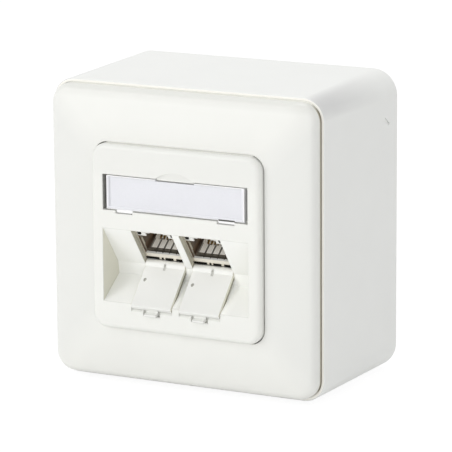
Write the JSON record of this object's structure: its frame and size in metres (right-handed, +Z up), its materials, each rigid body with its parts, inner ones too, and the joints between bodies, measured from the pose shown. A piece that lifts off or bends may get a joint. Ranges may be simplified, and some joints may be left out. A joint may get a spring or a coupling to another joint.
{
  "type": "surface mount jack box",
  "caption": "Square surface mount data outlet: a deep box with a domed cover frame and a scooped plate that holds slanted modular sockets with dust flaps and a label field.",
  "frame": {"origin": "centre of the wall face", "axes": "+X to the right, -Y out of the wall, +Z up"},
  "size_m": [0.0816, 0.0519, 0.0824],
  "materials": {
    "box_white": "fine satin moulded plastic, cool white",
    "frame_white": "satin gloss moulded plastic, warm white",
    "plate_white": "satin gloss moulded plastic, warm white",
    "flap_white": "satin moulded plastic, warm white",
    "clear_cover": "clear moulded plastic",
    "label_paper": "plain paper",
    "zinc_screw": "zinc plated steel",
    "zinc_steel": "zinc plated sheet steel",
    "carrier_steel": "zinc plated bracket",
    "die_cast": "nickel plated die casting",
    "socket_plastic": "pale moulded plastic",
    "gold_contact": "gold plated spring wire",
    "circuit_green": "green solder mask",
    "terminal_plastic": "pale moulded plastic",
    "tin_blade": "tinned bronze",
    "cap_plastic": "dark grey moulded plastic",
    "spring_metal": "plated spring steel"
  },
  "bodies": {
    "box": {"surface_box": "box_white", "cover_frame": "frame_white", "centre_plate": "plate_white", "plate_screws": "zinc_screw", "support_frame": "zinc_steel", "box_screws": "zinc_screw", "module_carrier": "carrier_steel", "carrier_screws": "zinc_screw", "left_jack_housing": "die_cast", "left_jack_insert": "socket_plastic", "left_contact_wires": "gold_contact", "left_circuit_board": "circuit_green", "left_terminal_block": "terminal_plastic", "left_terminal_blades": "tin_blade", "left_wire_cap": "cap_plastic", "left_shield_springs": "spring_metal", "right_jack_housing": "die_cast", "right_jack_insert": "socket_plastic", "right_contact_wires": "gold_contact", "right_circuit_board": "circuit_green", "right_terminal_block": "terminal_plastic", "right_terminal_blades": "tin_blade", "right_wire_cap": "cap_plastic", "right_shield_springs": "spring_metal"},
    "left_flap": {"left_dust_flap": "flap_white"},
    "right_flap": {"right_dust_flap": "flap_white"},
    "label_cover": {"label_window": "clear_cover", "label_strip": "label_paper"}
  },
  "joints": [
    {"name": "left_flap_hinge", "type": "hinge", "parent": "box", "child": "left_flap", "pos_m": [-0.00715, -0.04182, -0.00849], "axis": [1, 0, 0], "range_deg": [-100, 0]},
    {"name": "right_flap_hinge", "type": "hinge", "parent": "box", "child": "right_flap", "pos_m": [0.00715, -0.04182, -0.00849], "axis": [1, 0, 0], "range_deg": [-100, 0]},
    {"name": "label_cover_tilt", "type": "hinge", "parent": "box", "child": "label_cover", "pos_m": [0, -0.0501, 0.00795], "axis": [1, 0, 0], "range_deg": [0, 60]}
  ]
}
